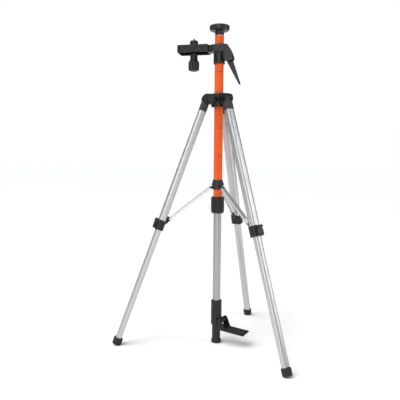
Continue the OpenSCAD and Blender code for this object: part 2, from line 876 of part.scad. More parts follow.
module bracket_platform() {
    rib_t = 2.4;
    color([0.17, 0.17, 0.18])
        bracket_frame()
            difference() {
                union() {
                    translate([0, 0, platform_bottom])
                        linear_extrude(platform_h)
                            platform_outline(0, platform_corner_r);
                    // neck between the platform and the head
                    translate([15, -neck_w / 2, platform_bottom])
                        cube([platform_start, neck_w, platform_h]);
                    translate([(head_front - head_back) / 2, 0, platform_bottom])
                        linear_extrude(platform_h)
                            rounded_rectangle(head_front + head_back, head_w, 5);
                    translate([0, 0, boss_bottom])
                        cylinder(h = platform_bottom - boss_bottom + 1, r = boss_r);
                    both_sides()
                        side_plate(head_w / 2 - lever_ear_t, head_w / 2)
                            ear_outline();
                }
                // hollow underside, keeping the screw's boss and the ribs
                difference() {
                    translate([0, 0, platform_bottom - 1])
                        linear_extrude(platform_h - platform_deck + 1)
                            platform_outline(platform_wall, platform_corner_r);
                    translate([screw_r, 0, platform_bottom - 2])
                        cylinder(h = platform_h, r = 12);
                    translate([platform_start, -rib_t / 2, platform_bottom + 6])
                        cube([bracket_reach - platform_start, rib_t, platform_h]);
                    translate([screw_r - rib_t / 2, -platform_w / 2, platform_bottom + 6])
                        cube([rib_t, platform_w, platform_h]);
                }
                translate([0, 0, boss_bottom - 1])
                    cylinder(h = platform_top - boss_bottom + 2, r = bracket_bore_r);
                translate([screw_r, 0, platform_bottom - 1])
                    cylinder(h = platform_h + 2, r = stud_shank_r + pin_slip);
                // window for the clamp shoe
                translate([-30, -8.5, lever_z - 8.5])
                    cube([20, 17, 17]);
                translate([lever_x, 0, lever_z])
                    cross_bar(axle_r, -head_w, head_w);
            }
}

module clamp_shoe() {
    color([0.3, 0.3, 0.31])
        bracket_frame()
            difference() {
                translate([lever_x + lever_barrel_r + 0.5, -8, lever_z - 8])
                    cube([8, 16, 16]);
                translate([0, 0, lever_z - 20])
                    cylinder(h = 40, r = liner_r + slip);
            }
}

module lever_axle() {
    axle_half = head_w / 2 + 1;
    color([0.1, 0.1, 0.11])
        bracket_frame()
            translate([lever_x, 0, lever_z]) {
                cross_bar(axle_r, -axle_half, axle_half);
                both_sides()
                    cross_bar(axle_r + 2, head_w / 2, axle_half + 0.8);
            }
}

// Curved handle outline: a quadratic curve from p0 to p2, drawn with a width that tapers.
function curve_point(p0, p1, p2, t) = (1 - t) * (1 - t) * p0 + 2 * t * (1 - t) * p1 + t * t * p2;
function curve_normal(p0, p1, p2, t) =
    let (d = (1 - t) * (p1 - p0) + t * (p2 - p1))
    [-d[1], d[0]] / norm(d);

module bracket_lever() {
    steps = 10;
    teeth = 9;
    root = [-1, -8];
    bend = [-14, -42];
    tip = [-38, -94];
    half_w = function(t) 11.5 - 8.6 * t;
    edge = function(t, side)
        curve_point(root, bend, tip, t) + side * half_w(t) * curve_normal(root, bend, tip, t);
    color([0.13, 0.13, 0.14])
        bracket_frame()
            translate([lever_x, 0, lever_z])
                difference() {
                    union() {
                        cross_bar(lever_barrel_r, -16.6, 16.6);
                        side_plate(-8, 8) {
                            polygon(concat(
                                [for (k = [0:steps]) edge(k / steps, 1)],
                                [for (k = [steps:-1:0]) edge(k / steps, -1)]
                            ));
                            translate(tip)
                                circle(r = half_w(1), $fn = 32);
                        }
                        for (k = [0:teeth - 1])
                            let (p = edge(0.34 + 0.6 * k / (teeth - 1), -1))
                            translate([p[0], 0, p[1]])
                                cross_bar(1.5, -8, 8, $fn = 24);
                    }
                    cross_bar(axle_r + pin_slip, -30, 30);
                }
}

module mount_knob() {
    knob_bottom = platform_top - 89;
    neck_r = 13.5;
    neck_top = platform_bottom - 0.5 - knob_bottom;
    flutes = 8;
    color([0.16, 0.16, 0.17])
        bracket_frame()
            translate([screw_r, 0, knob_bottom])
                difference() {
                    rotate_extrude()
                        polygon([
                            [0, 0], [mount_knob_r - 7, 0.6], [mount_knob_r - 2, 2.6], [mount_knob_r, 6],
                            [mount_knob_r, 31], [mount_knob_r - 1.5, 34], [neck_r, 39.5],
                            [neck_r, neck_top], [0, neck_top]
                        ]);
                    for (k = [0:flutes - 1])
                        rotate([0, 0, k * 360 / flutes])
                            translate([mount_knob_r + 1.6, 0, -1])
                                cylinder(h = 38, r = 4);
                    translate([0, 0, neck_top - 20])
                        cylinder(h = 21, r = stud_shank_r);
                }
}

module mount_stud() {
    stud_bottom = platform_bottom - 20.5;
    color([0.55, 0.56, 0.58])
        bracket_frame()
            translate([screw_r, 0, 0]) {
                translate([0, 0, stud_bottom])
                    cylinder(h = platform_top + seat_h - stud_bottom, r = stud_shank_r);
                translate([0, 0, platform_top + seat_h])
                    cylinder(h = stud_top - 1 - platform_top - seat_h, r = stud_r);
                translate([0, 0, stud_top - 1])
                    cylinder(h = 1, r1 = stud_r, r2 = stud_r - 1);
            }
}

module mount_seat() {
    color([0.16, 0.16, 0.17])
        bracket_frame()
            translate([screw_r, 0, platform_top])
                rotate_extrude()
                    polygon([
                        [stud_r + slip, 0], [seat_r, 0], [seat_r, seat_h - 5],
                        [seat_r - 1.2, seat_h - 2], [seat_r - 4, seat_h], [stud_r + slip, seat_h]
                    ]);
}

// ---- what is drawn ----

hub_casting();
hub_pivot_bolts();
hub_lock_knob();
hub_lock_screw();
spreader_collar();
collar_pins();
leg_1_knuckle();
leg_1_upper_tube();
leg_1_clamp();
leg_1_lever_pin();
leg_1_lever();
leg_1_guide();
leg_1_lower_tube();
leg_1_foot();
leg_2_knuckle();
leg_2_upper_tube();
leg_2_clamp();
leg_2_lever_pin();
leg_2_lever();
leg_2_guide();
leg_2_lower_tube();
leg_2_foot();
leg_3_knuckle();
leg_3_upper_tube();
leg_3_clamp();
leg_3_lever_pin();
leg_3_lever();
leg_3_guide();
leg_3_lower_tube();
leg_3_foot();
brace_1();
brace_1_rivets();
brace_2();
brace_2_rivets();
brace_3();
brace_3_rivets();
outer_tube();
top_insert();
lock_collet();
cap_body();
cap_stud();
cap_pad();
twist_lock_sleeve();
inner_tube();
inner_tube_plug();
foot_sleeve();
pedal_pin();
plunger_tube();
base_foot();
foot_spring();
foot_pedal();
pedal_tread();
bracket_liner();
bracket_platform();
clamp_shoe();
lever_axle();
mount_seat();
bracket_lever();
mount_knob();
mount_stud();
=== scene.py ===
import json
import math

import bmesh
import bpy
from mathutils import Matrix, Vector

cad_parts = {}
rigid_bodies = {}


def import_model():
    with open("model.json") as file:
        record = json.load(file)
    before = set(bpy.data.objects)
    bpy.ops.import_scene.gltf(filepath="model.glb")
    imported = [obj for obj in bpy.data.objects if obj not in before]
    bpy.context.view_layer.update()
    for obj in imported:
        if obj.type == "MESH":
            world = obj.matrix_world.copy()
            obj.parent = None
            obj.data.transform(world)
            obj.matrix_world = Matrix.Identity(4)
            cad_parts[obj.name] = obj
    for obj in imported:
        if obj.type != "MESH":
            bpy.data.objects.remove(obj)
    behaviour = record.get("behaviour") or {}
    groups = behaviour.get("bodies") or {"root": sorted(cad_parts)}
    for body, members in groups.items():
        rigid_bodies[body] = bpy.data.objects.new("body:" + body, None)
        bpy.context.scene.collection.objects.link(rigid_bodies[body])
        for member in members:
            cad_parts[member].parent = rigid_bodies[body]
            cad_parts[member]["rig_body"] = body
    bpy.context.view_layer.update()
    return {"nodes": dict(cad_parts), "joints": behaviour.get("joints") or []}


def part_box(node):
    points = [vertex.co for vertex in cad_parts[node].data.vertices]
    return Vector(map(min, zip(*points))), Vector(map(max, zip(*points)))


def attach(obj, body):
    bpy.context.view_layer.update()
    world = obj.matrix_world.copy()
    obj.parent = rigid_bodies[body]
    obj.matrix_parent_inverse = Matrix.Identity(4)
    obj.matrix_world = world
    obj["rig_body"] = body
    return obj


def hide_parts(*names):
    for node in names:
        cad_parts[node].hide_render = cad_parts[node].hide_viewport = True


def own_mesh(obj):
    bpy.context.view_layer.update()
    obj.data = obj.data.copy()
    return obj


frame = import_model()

NODES = frame["nodes"]
SLOTS = {name: node.data.materials[0].name for name, node in NODES.items()}
JOINTS = {joint["name"]: joint for joint in frame["joints"]}
LEG_NUMBERS = (1, 2, 3)

# ---- driving values, in millimetres and degrees ----
MM = 0.001
TUBE_SIDES = 96
SHARP_ANGLE = math.radians(38)
VOXEL = 0.6

POLE_WALL = 1.2
LEG_WALL = 1.3
LEG_CORNER = 9.0
TUBE_LIP = 0.35
BRUSH_STRETCH = (1, 1, 0.012)                # brushed lines run along a part's Z

HUB_ARM_HALF = 17.0                          # half the width of a hub arm
HINGE_PIN_R = 3.5
HUB_SCREW_PITCH = 1.25

CAP_BORE_R = 8.1
PLUNGER_BORE_R = 12.5
PLUNGER_FLOOR = 32.0                         # height of the floor that the spring stands on
SPRING_R = 10.0
SPRING_WIRE_R = 0.9
SPRING_TURNS = 9

CLAMP_FRONT = 17.5                           # from the leg's axis
CLAMP_BACK = -15.5
CLAMP_GROOVES = (5.5, 10.5)                  # above the clamp's lower end
LEVER_RIBS = 3

PLATFORM_START = 36.0                        # from the pole's axis
RECESS_MARGIN = 6.0
RECESS_DEPTH = 0.9
KNOB_NECK_R = 13.5
STUD_R = 3.175                               # a quarter inch thread
STUD_PITCH = 1.27
SHANK_R = 3.0

TICK_PITCH = 10.0
TICK_HEIGHT = 2.0
TICK_WIDTHS = {10: 10.0, 5: 8.0, 1: 6.0}      # every tenth, every fifth and every tick
INK_DEPTH = 0.05
NUMERAL_HEIGHT = 8.0
SCALE_TURN = -7.0                            # the scale sits a little left of the camera's side
NUMERAL_TURN = 21.0

# ---- camera, in metres and degrees ----
CAMERA_DISTANCE = 1.8163
CAMERA_HEIGHT = 0.6831
CAMERA_AZIMUTH = -97.85
CAMERA_HEADING = 84.2
CAMERA_PITCH = 4.602
CAMERA_ROLL = 0.509
CAMERA_LENS = 44.41
ROOM_DARK = 0.12
ROOM_BRIGHT = 0.66


# ---- frames ----

def frame_from(origin, y_axis, z_axis):
    y = Vector(y_axis).normalized()
    z = Vector(z_axis).normalized()
    matrix = Matrix((y.cross(z), y, z)).transposed().to_4x4()
    matrix.translation = origin
    return matrix


def joint_origin(name):
    return Vector(JOINTS[name]["pos_m"])


def joint_axis(name):
    return Vector(JOINTS[name]["axis"])


def facing(name):
    """Frame on the pole's axis with its X towards a joint."""
    at = joint_origin(name)
    return Matrix.Rotation(math.atan2(at.y, at.x), 4, "Z")


def leg_frame(i):
    return frame_from(joint_origin(f"leg_{i}_fold"), joint_axis(f"leg_{i}_fold"),
                      -joint_axis(f"leg_{i}_extend"))


POLE = Matrix.Identity(4)
BRACKET = facing("mount_screw_turn")
PEDAL = facing("pedal_fold")
LEGS = {i: leg_frame(i) for i in LEG_NUMBERS}


def centre(node):
    low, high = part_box(node)
    return (low + high) / 2


def brace_frame(i):
    hinge = joint_origin(f"brace_{i}_swing")
    return frame_from(hinge, joint_axis(f"leg_{i}_fold"), hinge - centre(f"brace_{i}_rivets"))


def local_box(node, local=POLE):
    """Lowest and highest corner of a CAD node in a local frame, in millimetres."""
    inverse = local.inverted()
    points = [inverse @ vertex.co for vertex in NODES[node].data.vertices]
    low = Vector([min(p[axis] for p in points) for axis in range(3)]) / MM
    high = Vector([max(p[axis] for p in points) for axis in range(3)]) / MM
    return low, high


# ---- shapes ----

def fillet(points, steps=4):
    """An outline of (x, y) or (x, y, r) points, with each corner that has an r cut back and rounded."""
    out = []
    for k, point in enumerate(points):
        here = Vector(point[:2])
        if len(point) < 3:
            out.append(tuple(here))
            continue
        before = Vector(points[k - 1][:2])
        after = Vector(points[(k + 1) % len(points)][:2])
        start = here + (before - here).normalized() * point[2]
        end = here + (after - here).normalized() * point[2]
        for step in range(steps + 1):
            t = step / steps
            out.append(tuple(start * (1 - t) ** 2 + here * 2 * t * (1 - t) + end * t * t))
    return out


def divided(profile, step):
    """The profile with points added, so that no span is longer than step."""
    out = [profile[0]]
    for a, b in zip(profile, profile[1:]):
        count = max(1, math.ceil(math.dist(a, b) / step))
        out += [tuple(Vector(a).lerp(Vector(b), k / count)) for k in range(1, count + 1)]
    return out


def rounded_rectangle(size_x, size_y, corner, steps=8):
    out = []
    for quarter in range(4):
        sign_x = 1 if quarter in (0, 3) else -1
        sign_y = 1 if quarter in (0, 1) else -1
        for step in range(steps + 1):
            angle = math.radians(90 * (quarter + step / steps))
            out.append((sign_x * (size_x / 2 - corner) + corner * math.cos(angle),
                        sign_y * (size_y / 2 - corner) + corner * math.sin(angle)))
    return out


def lofted(rings, closed=False):
    """Joins rings of equally many points, and caps the two ends unless the rings close on themselves."""
    count = len(rings[0])
    starts = [count * k for k in range(len(rings))]
    pairs = list(zip(starts, starts[1:]))
    if closed:
        pairs.append((starts[-1], 0))
    faces = [(a + k, a + (k + 1) % count, b + (k + 1) % count, b + k)
             for a, b in pairs for k in range(count)]
    if not closed:
        faces.append(tuple(reversed(range(count))))
        faces.append(tuple(range(starts[-1], starts[-1] + count)))
    return [point for ring in rings for point in ring], faces


def turned(profile, closed=False, sides=TUBE_SIDES, carve=None):
    """A profile of (radius, z) turned round Z. carve(radius, z, angle) gives the carved radius."""
    rings = []
    for radius, z in profile:
        ring = []
        for k in range(sides):
            angle = math.tau * k / sides
            r = carve(radius, z, angle) if carve else radius
            ring.append((r * math.cos(angle), r * math.sin(angle), z))
        rings.append(ring)
    return lofted(rings, closed)


def prism(outline, z0, z1):
    return lofted([[(x, y, z) for x, y in outline] for z in (z0, z1)])


def moved(shape, matrix):
    points, faces = shape
    return [tuple(matrix @ Vector(point)) for point in points], faces


def merged(*shapes):
    points, faces = [], []
    for shape_points, shape_faces in shapes:
        start = len(points)
        points += shape_points
        faces += [tuple(start + index for index in face) for face in shape_faces]
    return points, faces


def tube(outer_r, inner_r, z0, z1, lip=TUBE_LIP):
    corners = [(outer_r, z0, lip), (outer_r, z1, lip), (inner_r, z1, lip), (inner_r, z0, lip)]
    return turned(fillet(corners), closed=True)


def fade(distance, width):
    """0 to 1, smoothly, as distance goes from 0 to width."""
    t = min(1.0, max(0.0, distance / width))
    return t * t * (3 - 2 * t)


def flutes(count, depth, z0, z1, run_out, outside, power=2):
    """Carves lengthwise grooves between z0 and z1 into what is further out than outside."""
    def carve(radius, z, angle):
        if radius < outside:
            return radius
        groove = (0.5 + 0.5 * math.cos(count * angle)) ** power
        return radius - depth * groove * fade(z - z0, run_out) * fade(z1 - z, run_out)
    return carve


def thread(pitch, depth, z0, z1):
    """Carves a helical thread between z0 and z1."""
    def carve(radius, z, angle):
        phase = (z / pitch - angle / math.tau) % 1
        return radius - depth * abs(2 * phase - 1) * fade(z - z0, pitch) * fade(z1 - z, pitch)
    return carve


def hexagon(corner_r, angle):
    return corner_r * math.cos(math.pi / 6) / math.cos(angle % (math.pi / 3) - math.pi / 6)


# ---- meshes and pieces ----

def mesh_of(name, shape):
    points, faces = shape
    mesh = bpy.data.meshes.new(name)
    mesh.from_pydata([Vector(point) * MM for point in points], [], faces)
    tidy = bmesh.new()
    tidy.from_mesh(mesh)
    bmesh.ops.recalc_face_normals(tidy, faces=tidy.faces)
    tidy.to_mesh(mesh)
    tidy.free()
    mesh.shade_smooth()
    mesh.set_sharp_from_angle(angle=SHARP_ANGLE)
    return mesh


def cad_copy(node, local):
    """The CAD node's mesh in a local frame, in millimetres, with its seams closed."""
    mesh = NODES[node].data.copy()
    mesh.materials.clear()
    mesh.transform(Matrix.Scale(1 / MM, 4) @ local.inverted())
    tidy = bmesh.new()
    tidy.from_mesh(mesh)
    bmesh.ops.remove_doubles(tidy, verts=tidy.verts, dist=1e-3)
    tidy.to_mesh(mesh)
    tidy.free()
    for name in [item.name for item in mesh.attributes if item.name == "custom_normal"]:
        mesh.attributes.remove(mesh.attributes[name])
    return mesh


def add_shape(mesh, shape):
    extra = mesh_of("extra", shape)
    extra.transform(Matrix.Scale(1 / MM, 4))
    joined = bmesh.new()
    joined.from_mesh(mesh)
    joined.from_mesh(extra)
    joined.to_mesh(mesh)
    joined.free()


def with_modifiers(mesh, modifiers):
    """The mesh after a list of (kind, settings), back in metres."""
    worker = bpy.data.objects.new("worker", mesh)
    bpy.context.scene.collection.objects.link(worker)
    for kind, settings in modifiers:
        modifier = worker.modifiers.new(kind.lower(), kind)
        for key, value in settings.items():
            setattr(modifier, key, value)
    bpy.context.view_layer.update()
    result = bpy.data.meshes.new_from_object(
        worker.evaluated_get(bpy.context.evaluated_depsgraph_get()))
    bpy.data.objects.remove(worker)
    result.transform(Matrix.Scale(MM, 4))
    return result


def moulded(node, local, added=(), cut=(), voxel=VOXEL, passes=5, keep=0.45):
    """A moulded version of a CAD node: its edges and inner corners rounded, with details added and cut."""
    mesh = cad_copy(node, local)
    for shape in added:
        add_shape(mesh, shape)
    steps = []
    cutters = []
    for shape in cut:
        tool = bpy.data.objects.new("cutter", mesh_of("cutter", shape))
        tool.data.transform(Matrix.Scale(1 / MM, 4))
        bpy.context.scene.collection.objects.link(tool)
        cutters.append(tool)
        steps.append(("BOOLEAN", {"object": tool, "operation": "DIFFERENCE"}))
    steps.append(("REMESH", {"mode": "VOXEL", "voxel_size": voxel}))
    steps.append(("SMOOTH", {"factor": 0.5, "iterations": passes}))
    steps.append(("DECIMATE", {"ratio": keep}))
    result = with_modifiers(mesh, steps)
    for tool in cutters:
        bpy.data.objects.remove(tool)
    result.shade_smooth()
    return result


def machined(node, local, edge=0.3):
    """A metal version of a CAD node: flat faces made whole and sharp edges broken by a small bevel."""
    mesh = cad_copy(node, local)
    tidy = bmesh.new()
    tidy.from_mesh(mesh)
    bmesh.ops.dissolve_limit(tidy, angle_limit=math.radians(0.5), verts=tidy.verts, edges=tidy.edges)
    tidy.to_mesh(mesh)
    tidy.free()
    mesh.shade_smooth()
    bevel = {"width": edge, "segments": 2, "limit_method": "ANGLE", "angle_limit": SHARP_ANGLE,
             "harden_normals": True, "use_clamp_overlap": True}
    return with_modifiers(mesh, [("BEVEL", bevel)])


def new_piece(name, mesh, local, body, slot):
    piece = bpy.data.objects.new(name, mesh)
    bpy.context.scene.collection.objects.link(piece)
    piece.matrix_world = local
    mesh.materials.clear()
    mesh.materials.append(LOOKS[slot])
    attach(piece, body)
    return piece


def stand_in(node, form, local=POLE):
    """Puts a shape or a mesh in the place of a CAD node."""
    mesh = mesh_of(node, form) if isinstance(form, tuple) else form
    piece = new_piece(f"{node}_finished", mesh, local, NODES[node]["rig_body"], SLOTS[node])
    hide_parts(node)
    return piece


# ---- materials ----

class Look:
    """A node material that is written in a few lines."""

    def __init__(self, name, **values):
        self.material = bpy.data.materials.new(name + "_finish")
        self.material.use_nodes = True
        self.tree = self.material.node_tree
        self.shader = self.tree.nodes["Principled BSDF"]
        for key, value in values.items():
            self.shader.inputs[key.replace("_", " ")].default_value = value
        self.coords = self.node("TexCoord").outputs["Object"]

    def node(self, kind, settings=None, **inputs):
        made = self.tree.nodes.new("ShaderNode" + kind)
        for key, value in (settings or {}).items():
            setattr(made, key, value)
        for key, value in inputs.items():
            self.feed(made.inputs[key], value)
        return made

    def feed(self, socket, value):
        if isinstance(value, bpy.types.NodeSocket):
            self.tree.links.new(value, socket)
        else:
            socket.default_value = value

    def noise(self, per_metre, detail=2.0, stretch=(1, 1, 1)):
        place = self.node("Mapping", Vector=self.coords, Scale=stretch).outputs[0]
        return self.node("TexNoise", Vector=place, Scale=per_metre, Detail=detail).outputs[0]

    def remap(self, value, low, high, to_low, to_high):
        made = self.node("MapRange")
        for socket, item in zip(made.inputs, (value, low, high, to_low, to_high)):
            self.feed(socket, item)
        return made.outputs[0]

    def times(self, a, b):
        made = self.node("Math", {"operation": "MULTIPLY"})
        self.feed(made.inputs[0], a)
        self.feed(made.inputs[1], b)
        return made.outputs[0]

    def mix(self, factor, a, b):
        made = self.node("Mix", {"data_type": "RGBA"})
        for index, item in ((0, factor), (6, a), (7, b)):
            self.feed(made.inputs[index], item)
        return made.outputs[2]

    def worn_edges(self, start, end):
        """1 on convex edges and 0 elsewhere."""
        point = self.node("NewGeometry").outputs["Pointiness"]
        return self.remap(point, start, end, 0.0, 1.0)

    def finish(self, colour, roughness, height=None, depth=0.01, height_2=None, depth_2=0.01):
        """Feeds the shader: colour, roughness, and up to two bumps with their depth in millimetres."""
        self.feed(self.shader.inputs["Base Color"], colour)
        self.feed(self.shader.inputs["Roughness"], roughness)
        bumped = None
        for field, size in ((height, depth), (height_2, depth_2)):
            if field is None:
                continue
            bump = self.node("Bump", Height=field, Distance=size * MM, Strength=1.0)
            if bumped:
                self.feed(bump.inputs["Normal"], bumped)
            bumped = bump.outputs[0]
        if bumped:
            self.feed(self.shader.inputs["Normal"], bumped)
        return self.material


def grey(value, warmth=0.0):
    return (value * (1 + warmth), value, value * (1 - warmth), 1.0)


def plastic(name, tone, roughness, grain_mm=0.35, grain_depth=0.02):
    """Moulded nylon: fine grain, cloudy flow marks and edges rubbed a little lighter."""
    look = Look(name, IOR=1.42)
    cloud = look.noise(70, 3)
    grain = look.noise(1 / (grain_mm * MM), 1)
    body = look.mix(look.remap(cloud, 0.35, 0.65, 0.0, 1.0), grey(tone * 0.8), grey(tone * 1.25))
    rubbed = look.times(look.worn_edges(0.53, 0.62), look.remap(look.noise(240, 2), 0.4, 0.6, 0.1, 0.8))
    colour = look.mix(rubbed, body, grey(tone * 2 + 0.01))
    gloss = look.remap(cloud, 0.3, 0.7, roughness - 0.07, roughness + 0.07)
    return look.finish(colour, gloss, grain, grain_depth, look.noise(160, 2), 0.03)


def rubber(name, tone):
    look = Look(name, IOR=1.45)
    dust = look.remap(look.noise(90, 4), 0.45, 0.75, 0.0, 0.5)
    colour = look.mix(dust, grey(tone), grey(tone * 2.2 + 0.01, 0.03))
    pores = look.noise(1500, 2)
    return look.finish(colour, look.remap(pores, 0.3, 0.7, 0.68, 0.85), pores, 0.05)


def brushed(name, tone, roughness, depth=0.006):
    """Drawn and anodised metal: fine lines along the part's length and a faint cloud."""
    look = Look(name, Metallic=1.0)
    lines = look.noise(2600, 2, BRUSH_STRETCH)
    bands = look.noise(420, 2, BRUSH_STRETCH)
    cloud = look.noise(25, 2)
    fine = look.mix(look.remap(lines, 0.35, 0.65, 0.0, 1.0), grey(tone * 0.93), grey(tone))
    colour = look.mix(look.remap(bands, 0.35, 0.7, 0.0, 0.35), fine, grey(tone * 0.86))
    satin = look.remap(look.times(lines, cloud), 0.1, 0.45, roughness - 0.06, roughness + 0.08)
    return look.finish(colour, satin, lines, depth)


def plated(name, tone, roughness):
    """Zinc plated steel: a mottled, slightly blue skin with small stains."""
    look = Look(name, Metallic=1.0)
    mottle = look.noise(500, 4)
    stain = look.remap(look.noise(130, 3), 0.55, 0.75, 0.0, 0.5)
    skin = look.mix(look.remap(mottle, 0.3, 0.7, 0.0, 1.0), grey(tone * 0.85, -0.03), grey(tone, -0.02))
    colour = look.mix(stain, skin, grey(tone * 0.6, 0.04))
    return look.finish(colour, look.remap(mottle, 0.3, 0.7, roughness - 0.08, roughness + 0.1), mottle, 0.01)


def coated(name, colour, deep, roughness):
    """Powder coat: orange peel, a slightly deeper tone in clouds, and faint rub marks along the tube."""
    look = Look(name, IOR=1.35, Coat_Weight=0.08, Coat_Roughness=0.25)
    cloud = look.remap(look.noise(18, 3), 0.35, 0.65, 0.0, 1.0)
    rub = look.remap(look.noise(900, 2, (1, 1, 0.03)), 0.62, 0.8, 0.0, 0.35)
    base = look.mix(cloud, colour, deep)
    worn = look.mix(rub, base, tuple(min(1.0, c * 1.25 + 0.03) for c in colour[:3]) + (1.0,))
    peel = look.noise(650, 2)
    return look.finish(worn, look.remap(peel, 0.3, 0.7, roughness - 0.05, roughness + 0.08), peel, 0.02)


def ink(name, colour):
    look = Look(name)
    patchy = look.remap(look.noise(1100, 3), 0.4, 0.7, 0.0, 1.0)
    tint = look.mix(patchy, colour, tuple(c * 1.5 for c in colour[:3]) + (1.0,))
    return look.finish(tint, look.remap(patchy, 0.0, 1.0, 0.4, 0.55))


ORANGE = (0.78, 0.098, 0.004, 1.0)
DEEP_ORANGE = (0.70, 0.080, 0.003, 1.0)
INK_COLOUR = (0.10, 0.010, 0.004, 1.0)

LOOKS = {
    "hub_plastic": plastic("hub_plastic", 0.006, 0.44),
    "zinc_steel": plated("zinc_steel", 0.62, 0.34),
    "black_steel": plated("black_steel", 0.05, 0.4),
    "knob_plastic": plastic("knob_plastic", 0.012, 0.46, 0.5, 0.03),
    "guide_plastic": plastic("guide_plastic", 0.014, 0.42),
    "knuckle_plastic": plastic("knuckle_plastic", 0.03, 0.28),
    "clamp_plastic": plastic("clamp_plastic", 0.005, 0.42),
    "lever_plastic": plastic("lever_plastic", 0.005, 0.34),
    "leg_aluminium": brushed("leg_aluminium", 0.55, 0.34, depth=0.002),
    "foot_rubber": rubber("foot_rubber", 0.012),
    "brace_aluminium": brushed("brace_aluminium", 0.76, 0.48, depth=0.002),
    "orange_coating": coated("orange_coating", ORANGE, DEEP_ORANGE, 0.45),
    "pole_aluminium": brushed("pole_aluminium", 0.41, 0.36, depth=0.002),
    "cap_plastic": plastic("cap_plastic", 0.012, 0.24),
    "pad_rubber": rubber("pad_rubber", 0.016),
    "sleeve_plastic": plastic("sleeve_plastic", 0.004, 0.38),
    "foot_plastic": plastic("foot_plastic", 0.006, 0.42),
    "spring_steel": plated("spring_steel", 0.7, 0.26),
    "pedal_plastic": plastic("pedal_plastic", 0.006, 0.44),
    "bracket_plastic": plastic("bracket_plastic", 0.009, 0.3),
}
SCALE_INK = ink("scale_ink", INK_COLOUR)
BARE_METAL = brushed("cut_aluminium", 0.75, 0.3)


def dress_cad_nodes():
    """The CAD nodes that stay get their slot's finished material."""
    for node in NODES.values():
        look = LOOKS[SLOTS[node.name]]
        for material_slot in node.material_slots:
            material_slot.material = look


# ---- pole ----

def build_outer_tube():
    low, high = local_box("outer_tube")
    piece = stand_in("outer_tube", tube(high.x, high.x - POLE_WALL, low.z, high.z))
    piece.data.materials.append(BARE_METAL)
    inside = (high.x - 0.1) * MM
    for face in piece.data.polygons:
        face.material_index = int(face.center.xy.length < inside)


def tick(radius, turn, z, width):
    """A printed mark that follows the tube."""
    pieces = 6
    spread = width / radius
    rings = []
    for k in range(pieces + 1):
        angle = turn + spread * (k / pieces - 0.5)
        out = Vector((math.cos(angle), math.sin(angle)))
        rings.append([(*(out * (radius + rise)), z + side * TICK_HEIGHT / 2)
                      for rise, side in ((-0.02, -1), (INK_DEPTH, -1), (INK_DEPTH, 1), (-0.02, 1))])
    return lofted(rings)


def numeral(text, radius, turn, z):
    """A printed number that follows the tube, made from Blender's own font."""
    curve = bpy.data.curves.new("numeral", "FONT")
    curve.body = text
    curve.size = NUMERAL_HEIGHT * 1.35
    curve.align_x = "CENTER"
    curve.align_y = "CENTER"
    curve.extrude = INK_DEPTH
    worker = bpy.data.objects.new("numeral", curve)
    bpy.context.scene.collection.objects.link(worker)
    bpy.context.view_layer.update()
    flat = bpy.data.meshes.new_from_object(worker.evaluated_get(bpy.context.evaluated_depsgraph_get()))
    bpy.data.objects.remove(worker)
    fine = bmesh.new()
    fine.from_mesh(flat)
    bmesh.ops.remove_doubles(fine, verts=fine.verts, dist=1e-4)
    for _ in range(3):
        long_edges = [edge for edge in fine.edges if edge.calc_length() > 0.9]
        bmesh.ops.subdivide_edges(fine, edges=long_edges, cuts=1)
        bmesh.ops.triangulate(fine, faces=[face for face in fine.faces if len(face.verts) > 3])
    points = []
    for vertex in fine.verts:
        angle = turn + vertex.co.x / radius
        r = radius + vertex.co.z
        points.append((r * math.cos(angle), r * math.sin(angle), z + vertex.co.y))
    faces = [tuple(vertex.index for vertex in face.verts) for face in fine.faces]
    fine.free()
    return points, faces


def build_scale():
    low, high = local_box("outer_tube")
    turn = math.radians(CAMERA_AZIMUTH + SCALE_TURN)
    number_turn = turn + math.radians(NUMERAL_TURN)
    count = int((high.z - low.z) / TICK_PITCH)
    ticks = []
    numerals = []
    for k in range(1, count):
        z = low.z + k * TICK_PITCH
        width = next(w for step, w in TICK_WIDTHS.items() if k % step == 0)
        ticks.append(tick(high.x, turn, z, width))
        if k % 10 == 0:
            numerals.append(numeral(str(k), high.x, number_turn, z))
    for name, shapes in (("scale_ticks", ticks), ("scale_numerals", numerals)):
        piece = new_piece(name, mesh_of(name, merged(*shapes)), POLE, "outer_pole", "orange_coating")
        piece.data.materials[0] = SCALE_INK


def build_pole_top():
    tube_high = local_box("outer_tube")[1]
    bore_r = tube_high.x - POLE_WALL
    low, high = local_box("top_insert")
    stand_in("top_insert", turned(fillet([
        (CAP_BORE_R, low.z), (bore_r, low.z), (bore_r, tube_high.z), (high.x, tube_high.z, 0.5),
        (high.x, high.z, 0.8), (CAP_BORE_R, high.z)]), closed=True))
    low, high = local_box("cap_body")
    rim = high.x
    z = low.z
    neck = tube_high.x + 0.3
    outline = fillet([
        (1, z), (neck, z, 0.8), (neck, z + 9, 1.5), (neck + 1.2, z + 11.5, 2), (rim - 9, z + 13.5, 2.5),
        (rim - 3, z + 15.5, 2), (rim, z + 19, 1.6), (rim, z + 29.5, 2), (rim - 1.2, z + 32, 1.2),
        (rim - 4, high.z, 1), (rim - 5, high.z, 0.3), (rim - 5, high.z - 2.6, 0.3), (1, high.z - 2.6)], 5)
    stand_in("cap_body", turned(divided(outline, 2.5), sides=144,
                                carve=flutes(48, 0.35, z + 18.5, z + 30.5, 1.2, rim - 1.5, 1)))
    low, high = local_box("cap_pad")
    rings = [(1, low.z), (high.x - 0.05, low.z), (high.x - 0.05, high.z - 0.4), (high.x - 0.5, high.z)]
    for groove in range(4):
        r = high.x - 4 - groove * 6.5
        rings += [(r, high.z), (r - 0.4, high.z - 0.8), (r - 1.6, high.z - 0.8), (r - 2, high.z)]
    stand_in("cap_pad", turned(rings + [(1, high.z)]))


